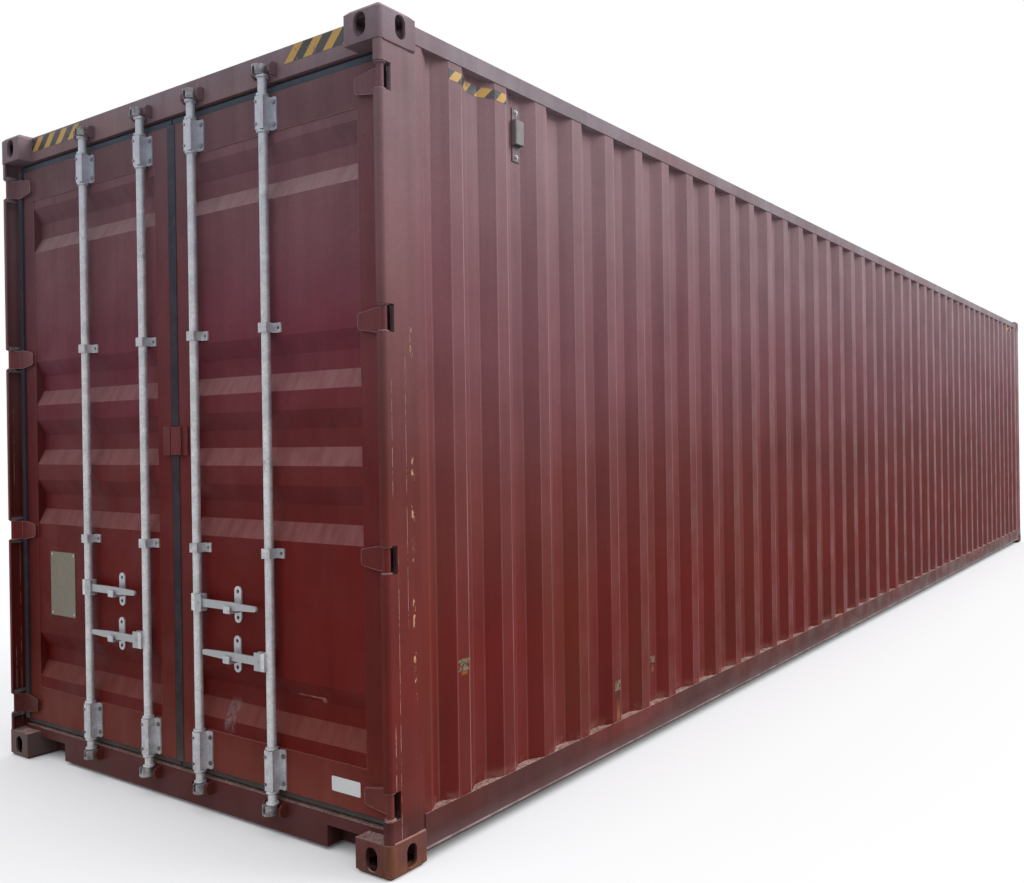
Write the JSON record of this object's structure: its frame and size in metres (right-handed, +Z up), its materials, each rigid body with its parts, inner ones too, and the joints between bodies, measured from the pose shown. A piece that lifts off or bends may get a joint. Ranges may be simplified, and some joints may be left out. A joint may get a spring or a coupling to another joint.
{
  "type": "shipping container",
  "caption": "Long high-cube steel freight container with corrugated sides, hollow corner castings, a plywood floor and double rear doors with lock rods.",
  "frame": {"origin": "centre of the footprint, on the ground", "axes": "+X towards the closed front end, doors at -X; +Y towards the left side seen from behind the doors; +Z up"},
  "size_m": [12.192, 2.438, 2.896],
  "materials": {
    "casting_paint": "worn oxide red paint",
    "frame_paint": "worn oxide red paint",
    "wall_paint": "weathered oxide red paint",
    "roof_paint": "weathered oxide red paint",
    "plywood": "varnished plywood",
    "underside_paint": "dark underseal",
    "vent_plastic": "matt black",
    "keeper_paint": "worn forging",
    "pin_steel": "bare pin",
    "door_paint": "worn oxide red paint",
    "panel_paint": "worn oxide red paint",
    "gasket_rubber": "weathered rubber",
    "hinge_paint": "worn oxide red paint",
    "zinc_bracket": "hot-dip galvanised",
    "zinc_rod": "hot-dip galvanised",
    "plate_metal": "dull plate"
  },
  "bodies": {
    "container": {"corner_castings_top": "casting_paint", "corner_castings_bottom": "casting_paint", "rear_posts": "frame_paint", "front_posts": "frame_paint", "door_header": "frame_paint", "door_sill": "frame_paint", "door_threshold": "frame_paint", "header_stop": "frame_paint", "front_header": "frame_paint", "front_sill": "frame_paint", "top_rails": "frame_paint", "bottom_rails": "frame_paint", "side_wall_right": "wall_paint", "side_wall_left": "wall_paint", "front_wall": "wall_paint", "roof_panel": "roof_paint", "roof_end_plates": "roof_paint", "floor_boards": "plywood", "cross_members": "underside_paint", "side_vents": "vent_plastic", "cam_keepers": "keeper_paint", "hinge_pins": "pin_steel"},
    "door_right": {"door_right_frame": "door_paint", "door_right_panel": "panel_paint", "door_right_gasket": "gasket_rubber", "door_right_hinges": "hinge_paint", "door_right_brackets": "zinc_bracket", "door_right_retainers": "zinc_bracket", "overlap_plate": "hinge_paint"},
    "door_left": {"door_left_frame": "door_paint", "door_left_panel": "panel_paint", "door_left_gasket": "gasket_rubber", "door_left_hinges": "hinge_paint", "door_left_brackets": "zinc_bracket", "door_left_retainers": "zinc_bracket", "stop_plate": "hinge_paint", "data_plate": "plate_metal"},
    "rod_1": {"lock_rod_1": "zinc_rod"},
    "handle_1": {"lock_handle_1": "zinc_rod"},
    "rod_2": {"lock_rod_2": "zinc_rod"},
    "handle_2": {"lock_handle_2": "zinc_rod"},
    "rod_3": {"lock_rod_3": "zinc_rod"},
    "handle_3": {"lock_handle_3": "zinc_rod"},
    "rod_4": {"lock_rod_4": "zinc_rod"},
    "handle_4": {"lock_handle_4": "zinc_rod"}
  },
  "joints": [
    {"name": "door_right_hinge", "type": "hinge", "parent": "container", "child": "door_right", "pos_m": [-6.07, -1.195, 0], "axis": [0, 0, 1], "range_deg": [0, 255]},
    {"name": "door_left_hinge", "type": "hinge", "parent": "container", "child": "door_left", "pos_m": [-6.07, 1.195, 0], "axis": [0, 0, -1], "range_deg": [0, 255]},
    {"name": "lock_rod_1_turn", "type": "hinge", "parent": "door_left", "child": "rod_1", "pos_m": [-6.056, 0.594, 0], "axis": [0, 0, 1], "range_deg": [-90, 0]},
    {"name": "lock_handle_1_lift", "type": "hinge", "parent": "rod_1", "child": "handle_1", "pos_m": [-6.074, 0.556, 0.835], "axis": [1, 0, 0], "range_deg": [-25, 0]},
    {"name": "lock_rod_2_turn", "type": "hinge", "parent": "door_left", "child": "rod_2", "pos_m": [-6.056, 0.169, 0], "axis": [0, 0, -1], "range_deg": [-90, 0]},
    {"name": "lock_handle_2_lift", "type": "hinge", "parent": "rod_2", "child": "handle_2", "pos_m": [-6.074, 0.207, 0.645], "axis": [-1, 0, 0], "range_deg": [-25, 0]},
    {"name": "lock_rod_3_turn", "type": "hinge", "parent": "door_right", "child": "rod_3", "pos_m": [-6.056, -0.169, 0], "axis": [0, 0, 1], "range_deg": [-90, 0]},
    {"name": "lock_handle_3_lift", "type": "hinge", "parent": "rod_3", "child": "handle_3", "pos_m": [-6.074, -0.207, 0.835], "axis": [1, 0, 0], "range_deg": [-25, 0]},
    {"name": "lock_rod_4_turn", "type": "hinge", "parent": "door_right", "child": "rod_4", "pos_m": [-6.056, -0.594, 0], "axis": [0, 0, -1], "range_deg": [-90, 0]},
    {"name": "lock_handle_4_lift", "type": "hinge", "parent": "rod_4", "child": "handle_4", "pos_m": [-6.074, -0.556, 0.645], "axis": [-1, 0, 0], "range_deg": [-25, 0]}
  ]
}
